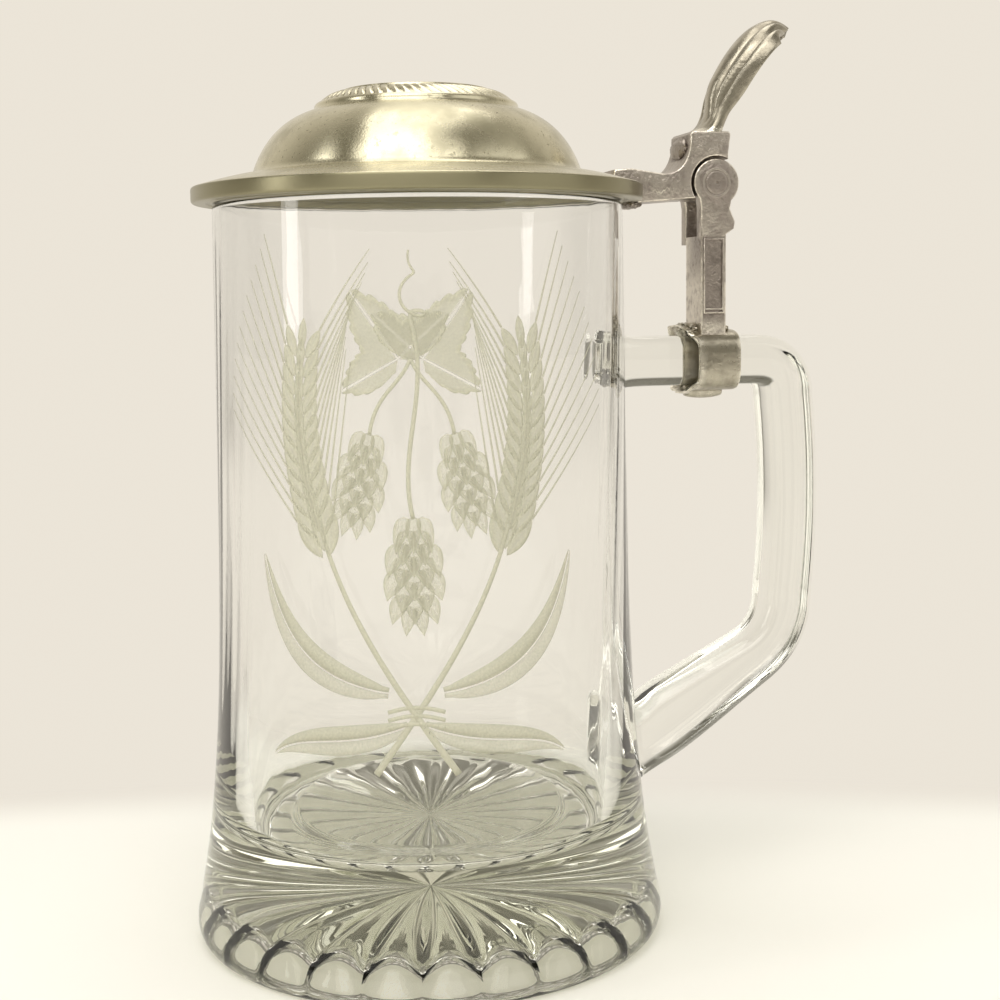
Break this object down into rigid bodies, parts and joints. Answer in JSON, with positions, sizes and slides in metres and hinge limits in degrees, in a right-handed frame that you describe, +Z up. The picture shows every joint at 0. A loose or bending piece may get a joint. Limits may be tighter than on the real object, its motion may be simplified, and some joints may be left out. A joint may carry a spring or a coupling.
{
  "type": "lidded glass beer stein",
  "caption": "Clear glass beer stein with a flared, thick fluted base and a side handle, closed by a domed pewter lid that hinges open with a thumb lift.",
  "frame": {"origin": "centre of the flat ring that the glass body stands on, on the table", "axes": "+Z up along the mug's axis, +X from the axis towards the handle, Y across the handle and along the hinge pin"},
  "size_m": [0.1318, 0.0958, 0.1844],
  "materials": {
    "clear_glass": "clear, with a faint olive tint where it is thick",
    "satin_pewter": "satin pewter with a warm tone",
    "cast_pewter": "dull as-cast pewter"
  },
  "bodies": {
    "mug": {"glass_body": "clear_glass", "glass_handle": "clear_glass", "handle_collar": "cast_pewter", "hinge_post": "cast_pewter", "hinge_pin": "cast_pewter"},
    "lid": {"lid_shell": "satin_pewter", "lid_medallion": "satin_pewter", "lid_strut": "cast_pewter", "thumb_lift": "satin_pewter"}
  },
  "joints": [
    {"name": "lid_hinge", "type": "hinge", "parent": "mug", "child": "lid", "pos_m": [0.0605, 0, 0.1512], "axis": [0, 1, 0], "range_deg": [0, 105]}
  ]
}
